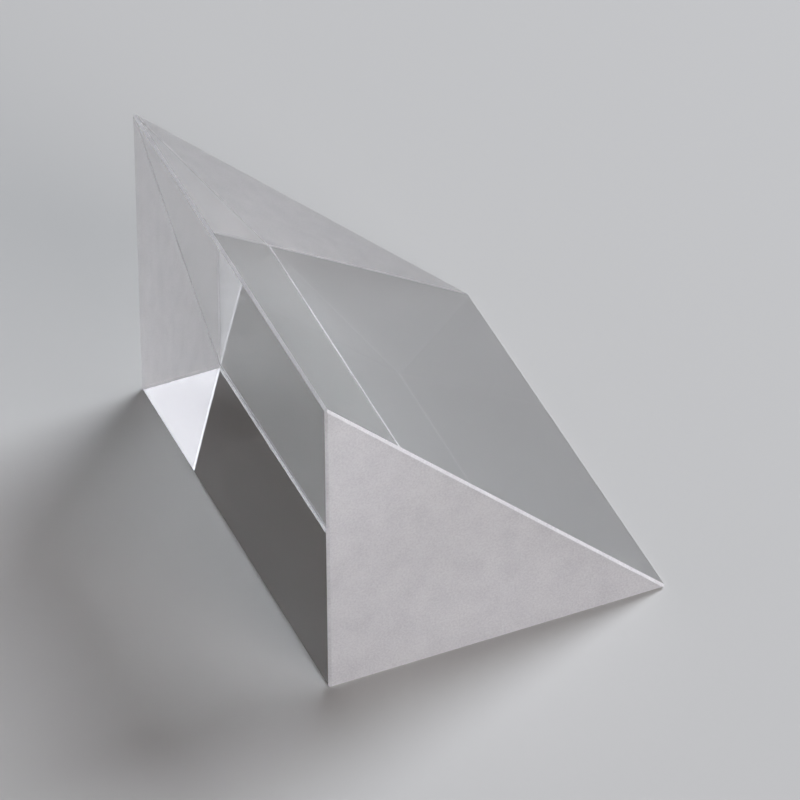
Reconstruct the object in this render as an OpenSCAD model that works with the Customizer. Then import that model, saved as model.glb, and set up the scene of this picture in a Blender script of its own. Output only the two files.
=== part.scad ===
// Right angle prism, 45-90-45, of optical crown glass.
// It lies on one leg face, with the other leg face upright on the -X side and
// the hypotenuse face sloping down towards +X. Its length runs along Y.
// The origin is the middle of the leg face that it lies on, between the three
// sharp corners of the section before they are bevelled.

/* [Section] */
// Side of each leg face across the prism, from face to sharp edge
leg = 30; // [10:0.5:60]

/* [Length] */
// Distance between the two ground triangular ends
prism_length = 40; // [10:0.5:80]

/* [Protective bevels] */
// Width of the flat ground along the right angle edge
ridge_bevel = 0.3; // [0.1:0.05:1.5]
// Width of the flat ground along each of the two 45 degree edges
acute_bevel = 0.3; // [0.1:0.05:1.5]
// Width of the flats ground round each triangular end
end_bevel = 0.3; // [0.1:0.05:1.5]

/* [Hidden] */

RIGHT_ANGLE = 90;
ACUTE_ANGLE = 45;

// Corners of the section in X and Z: the right angle, the far end of the leg
// face below, and the top of the upright leg face.
ridge = [-leg / 2, 0];
toe = [leg / 2, 0];
peak = [-leg / 2, leg];

// The long edges: corner of the section, angle of glass there, direction
// that points straight out of it, and width of its flat.
LONG_EDGES = [
    [ridge, RIGHT_ANGLE, 225, ridge_bevel],
    [toe, ACUTE_ANGLE, -22.5, acute_bevel],
    [peak, ACUTE_ANGLE, 112.5, acute_bevel],
];

// The polished faces: a corner of the section that each one passes through,
// and the direction that it looks in.
POLISHED_FACES = [
    [ridge, 270],
    [ridge, 180],
    [toe, 45],
];

// How far in from a sharp edge a flat of this width lies.
function flat_depth(width, angle) = width / 2 / tan(angle / 2);

// Everything outside a flat ground on a sharp edge that runs along Y through
// the origin and points towards +X. It is long enough for every edge.
module ground_away(width, angle) {
    reach = 2 * (leg + prism_length);
    translate([-flat_depth(width, angle), -reach, -reach])
        cube([reach, 2 * reach, 2 * reach]);
}

// The sawn blank, with every edge still sharp.
module blank() {
    rotate([90, 0, 0])
        linear_extrude(prism_length, center = true)
            polygon([ridge, toe, peak]);
}

// What is ground off the three edges that run the length of the prism.
module long_bevels() {
    for (edge = LONG_EDGES)
        translate([edge[0].x, 0, edge[0].y])
            rotate([0, -edge[2], 0])
                ground_away(edge[3], edge[1]);
}

// What is ground off the three edges round each end.
module end_bevels() {
    for (face = POLISHED_FACES, end = [-1, 1])
        translate([face[0].x, end * prism_length / 2, face[0].y])
            rotate([0, -face[1], 0])
                rotate([0, 0, end * RIGHT_ANGLE / 2])
                    ground_away(end_bevel, RIGHT_ANGLE);
}

module prism() {
    color("lightcyan", 0.35)
        difference() {
            blank();
            long_bevels();
            end_bevels();
        }
}

prism();
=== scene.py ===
import math

import bpy
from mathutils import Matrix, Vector


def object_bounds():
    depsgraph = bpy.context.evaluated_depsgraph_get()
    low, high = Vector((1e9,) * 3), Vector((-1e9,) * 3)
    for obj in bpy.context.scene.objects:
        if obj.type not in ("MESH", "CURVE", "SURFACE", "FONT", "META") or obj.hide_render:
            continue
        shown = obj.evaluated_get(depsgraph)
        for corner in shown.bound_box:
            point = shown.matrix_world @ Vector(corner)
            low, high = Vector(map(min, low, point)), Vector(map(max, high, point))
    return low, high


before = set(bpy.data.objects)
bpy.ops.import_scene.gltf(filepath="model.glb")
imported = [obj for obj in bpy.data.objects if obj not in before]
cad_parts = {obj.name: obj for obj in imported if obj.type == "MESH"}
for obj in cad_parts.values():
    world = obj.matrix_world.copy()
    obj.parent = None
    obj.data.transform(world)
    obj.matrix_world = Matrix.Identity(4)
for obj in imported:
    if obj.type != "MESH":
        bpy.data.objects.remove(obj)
cad_low, cad_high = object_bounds()


# --- Prism -------------------------------------------------------------------------------------
# One block of colourless optical crown glass, sawn from a slab and ground to 45-90-45 degrees.
# The two leg faces and the hypotenuse face are polished, so light passes or is turned back inside.
# Both triangular ends and the narrow bevel on every edge are left as they came off the grinding plate.

LEG = -2 * cad_low.x          # the upright leg face stands half a leg from the middle
LENGTH = cad_high.y - cad_low.y
ON_THE_FACE = 2e-6            # metres; nearer than this to the plane of a face is on that face

CROWN_GLASS_IOR = 1.5168      # borosilicate crown, at the yellow of the spectrum
POLISHED_ROUGHNESS = 0.0
GROUND_ROUGHNESS = 0.7
POLISHED_CLEARNESS = 1.0      # share of the light that passes as through clear glass
END_CLEARNESS = 0.6
BEVEL_CLEARNESS = 0.45        # ground with a coarser grit than the ends, so it reads whiter

CLEAR_WATER_WHITE = "#ffffff"
GROUND_PALE = "#ffffff"
GROUND_DULL = "#e6e5e7"
MOTTLE_WIDTH = 0.0025         # patches where the plate cut a little more or less
MOTTLE_DETAIL = 3.0
GRAIN_WIDTH = 0.00018         # real pits are 0.02 mm; drawn this coarse so that they show
GRAIN_DETAIL = 2.0
GRAIN_DEPTH = 0.00004
GRAIN_STRENGTH = 0.6
GRAIN_SHARE = 0.6             # of the ground tone, beside the mottle
LEAST_CUT = 0.34              # noise values that give the dullest and the palest tone
MOST_CUT = 0.66


def linear(hex_colour):
    """An sRGB hex colour as linear red, green, blue and alpha, by the standard curve."""
    shares = [int(hex_colour[i:i + 2], 16) / 255 for i in (1, 3, 5)]
    return [s / 12.92 if s <= 0.04045 else ((s + 0.055) / 1.055) ** 2.4 for s in shares] + [1.0]


def add_node(tree, kind, inputs, **settings):
    """Adds a node, sets its properties, and gives each input a value or a link. Returns it.

    An input goes by its name, or by its number where names repeat.
    """
    added = tree.nodes.new(kind)
    for name, value in settings.items():
        setattr(added, name, value)
    for socket, value in inputs.items():
        if isinstance(value, bpy.types.NodeSocket):
            tree.links.new(value, added.inputs[socket])
        else:
            added.inputs[socket].default_value = value
    return added


# A Mix node has its inputs named A and B, and its output, once for numbers and again for colours.
NUMBER_A, NUMBER_B, MIXED_NUMBER = 2, 3, 0
COLOUR_A, COLOUR_B, MIXED_COLOUR = 6, 7, 2

# Crown glass: polished, it is clear and mirrors at a low angle; fine ground, it is an even
# satin grey-white that lets light through but no picture.
crown_glass = bpy.data.materials.new("crown_glass_polished_and_fine_ground")
crown_glass.use_nodes = True
glass_tree = crown_glass.node_tree
glass_tree.nodes.clear()

# Which face a point is on follows from where it is: each face is a plane, and the rest is bevel.
point = add_node(glass_tree, "ShaderNodeTexCoord", {}).outputs["Object"]
along = add_node(glass_tree, "ShaderNodeSeparateXYZ", {"Vector": point}).outputs
up_the_slope = add_node(glass_tree, "ShaderNodeMath", {0: along["X"], 1: along["Z"]}, operation="ADD")
from_middle = add_node(glass_tree, "ShaderNodeMath", {0: along["Y"]}, operation="ABSOLUTE")
planes = {
    "base leg": (along["Z"], 0.0),
    "upright leg": (along["X"], -LEG / 2),
    "hypotenuse": (up_the_slope.outputs["Value"], LEG / 2),
    "end": (from_middle.outputs["Value"], LENGTH / 2),
}
on_face = {}
for face, (way, place) in planes.items():
    compared = add_node(glass_tree, "ShaderNodeMath", {
        0: way, 1: place, 2: ON_THE_FACE}, operation="COMPARE")
    on_face[face] = compared.outputs["Value"]
on_a_leg = add_node(glass_tree, "ShaderNodeMath", {
    0: on_face["base leg"], 1: on_face["upright leg"]}, operation="MAXIMUM")
polished = add_node(glass_tree, "ShaderNodeMath", {
    0: on_a_leg.outputs["Value"], 1: on_face["hypotenuse"]}, operation="MAXIMUM").outputs["Value"]

# The grinding leaves a fine grain, and a mottle where the plate cut more or less.
mottle = add_node(glass_tree, "ShaderNodeTexNoise", {
    "Vector": point, "Scale": 1 / MOTTLE_WIDTH, "Detail": MOTTLE_DETAIL})
grain = add_node(glass_tree, "ShaderNodeTexNoise", {
    "Vector": point, "Scale": 1 / GRAIN_WIDTH, "Detail": GRAIN_DETAIL})
cut = add_node(glass_tree, "ShaderNodeMix", {
    "Factor": GRAIN_SHARE, NUMBER_A: mottle.outputs["Fac"], NUMBER_B: grain.outputs["Fac"]})
spread_cut = add_node(glass_tree, "ShaderNodeMapRange", {
    "Value": cut.outputs[MIXED_NUMBER], "From Min": LEAST_CUT, "From Max": MOST_CUT})
ground_tone = add_node(glass_tree, "ShaderNodeMix", {
    "Factor": spread_cut.outputs["Result"],
    COLOUR_A: linear(GROUND_DULL), COLOUR_B: linear(GROUND_PALE)}, data_type="RGBA")
grain_strength = add_node(glass_tree, "ShaderNodeMix", {
    "Factor": polished, NUMBER_A: GRAIN_STRENGTH, NUMBER_B: 0.0})
grain_bump = add_node(glass_tree, "ShaderNodeBump", {
    "Strength": grain_strength.outputs[MIXED_NUMBER], "Distance": GRAIN_DEPTH,
    "Height": grain.outputs["Fac"]})

# Each finish gets its own tone, roughness and clearness.
glass_tone = add_node(glass_tree, "ShaderNodeMix", {
    "Factor": polished,
    COLOUR_A: ground_tone.outputs[MIXED_COLOUR], COLOUR_B: linear(CLEAR_WATER_WHITE)}, data_type="RGBA")
roughness = add_node(glass_tree, "ShaderNodeMix", {
    "Factor": polished, NUMBER_A: GROUND_ROUGHNESS, NUMBER_B: POLISHED_ROUGHNESS})
ground_clearness = add_node(glass_tree, "ShaderNodeMix", {
    "Factor": on_face["end"], NUMBER_A: BEVEL_CLEARNESS, NUMBER_B: END_CLEARNESS})
clearness = add_node(glass_tree, "ShaderNodeMix", {
    "Factor": polished,
    NUMBER_A: ground_clearness.outputs[MIXED_NUMBER], NUMBER_B: POLISHED_CLEARNESS})

glass_surface = add_node(glass_tree, "ShaderNodeBsdfPrincipled", {
    "Base Color": glass_tone.outputs[MIXED_COLOUR],
    "Roughness": roughness.outputs[MIXED_NUMBER],
    "IOR": CROWN_GLASS_IOR,
    "Transmission Weight": clearness.outputs[MIXED_NUMBER],
    "Normal": grain_bump.outputs["Normal"],
})
add_node(glass_tree, "ShaderNodeOutputMaterial", {"Surface": glass_surface.outputs["BSDF"]})

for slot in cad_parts["prism"].material_slots:
    slot.material = crown_glass


# --- Floor -------------------------------------------------------------------------------------
# A wide sheet of uncoated pale grey card under the prism.
# It lies a hair below the base face, which leaves the film of air that turns light back inside the glass.

FLOOR_HALF_WIDTH = 3.0
AIR_FILM = 0.00002            # 0.02 mm, as dust and the card's nap hold the glass off it
CORNERS = ((-1, -1), (1, -1), (1, 1), (-1, 1))

floor_mesh = bpy.data.meshes.new("card_floor")
floor_mesh.from_pydata(
    [(x * FLOOR_HALF_WIDTH, y * FLOOR_HALF_WIDTH, -AIR_FILM) for x, y in CORNERS],
    [], [(0, 1, 2, 3)])
floor = bpy.data.objects.new("card_floor", floor_mesh)
bpy.context.scene.collection.objects.link(floor)

# Uncoated card: one even pale tone without any shine.
PALE_GREY = "#c3c3c0"
CARD_ROUGHNESS = 0.9
CARD_SPECULAR = 0.2

uncoated_card = bpy.data.materials.new("uncoated_card")
uncoated_card.use_nodes = True
card_surface = uncoated_card.node_tree.nodes["Principled BSDF"].inputs
card_surface["Base Color"].default_value = linear(PALE_GREY)
card_surface["Roughness"].default_value = CARD_ROUGHNESS
card_surface["Specular IOR Level"].default_value = CARD_SPECULAR
floor_mesh.materials.append(uncoated_card)


# --- Studio light ------------------------------------------------------------------------------
# A round softbox high on the right does most of the work, and a weak one low in front opens the shade.
# The walls all round are dim, so the glass has something dark to turn back wherever it mirrors the room.

DIM_WALLS = "#3d3835"

studio = bpy.data.worlds.new("dim_studio")
bpy.context.scene.world = studio
studio.use_nodes = True
studio.node_tree.nodes["Background"].inputs["Color"].default_value = linear(DIM_WALLS)


def add_softbox(name, place, width, watts, colour):
    """A round soft lamp that is turned to the prism and isn't seen itself."""
    lamp = bpy.data.lights.new(name, "AREA")
    lamp.shape = "DISK"
    lamp.size = width
    lamp.energy = watts
    lamp.color = linear(colour)[:3]
    softbox = bpy.data.objects.new(name, lamp)
    bpy.context.scene.collection.objects.link(softbox)
    softbox.location = place
    softbox.rotation_euler = Vector(place).to_track_quat("Z", "Y").to_euler()
    softbox.visible_camera = False


add_softbox("key_softbox", place=(0.83, 0.35, 0.90), width=0.8, watts=20.0, colour="#f2f6ff")
add_softbox("front_softbox", place=(0.30, -1.15, 0.45), width=0.8, watts=9.0, colour="#fff7f9")


# --- Camera ------------------------------------------------------------------------------------
# A long lens 0.7 m off, in front of the left corner.
# It looks down at about 41 degrees, so both polished faces that slope away and one ground end show.

LENS = 380.2                  # millimetres, on the default 36 mm sensor
LENS_PLACE = (-0.20483, -0.47634, 0.46621)
LENS_TURN = (48.626, 0.265, -23.496)      # degrees
NEAREST_SEEN = 0.01
FARTHEST_SEEN = 5.0

view = bpy.data.cameras.new("camera")
view.lens = LENS
view.clip_start = NEAREST_SEEN
view.clip_end = FARTHEST_SEEN
camera = bpy.data.objects.new("camera", view)
bpy.context.scene.collection.objects.link(camera)
camera.location = LENS_PLACE
camera.rotation_euler = [math.radians(turn) for turn in LENS_TURN]
bpy.context.scene.camera = camera
bpy.context.scene.view_settings.view_transform = "Standard"

# Light is turned back many times inside a prism before it leaves.
TURNS_OFF_GLASS = 16
PASSES_THROUGH_GLASS = 24

bpy.context.scene.cycles.glossy_bounces = TURNS_OFF_GLASS
bpy.context.scene.cycles.transmission_bounces = PASSES_THROUGH_GLASS
bpy.context.scene.cycles.max_bounces = PASSES_THROUGH_GLASS
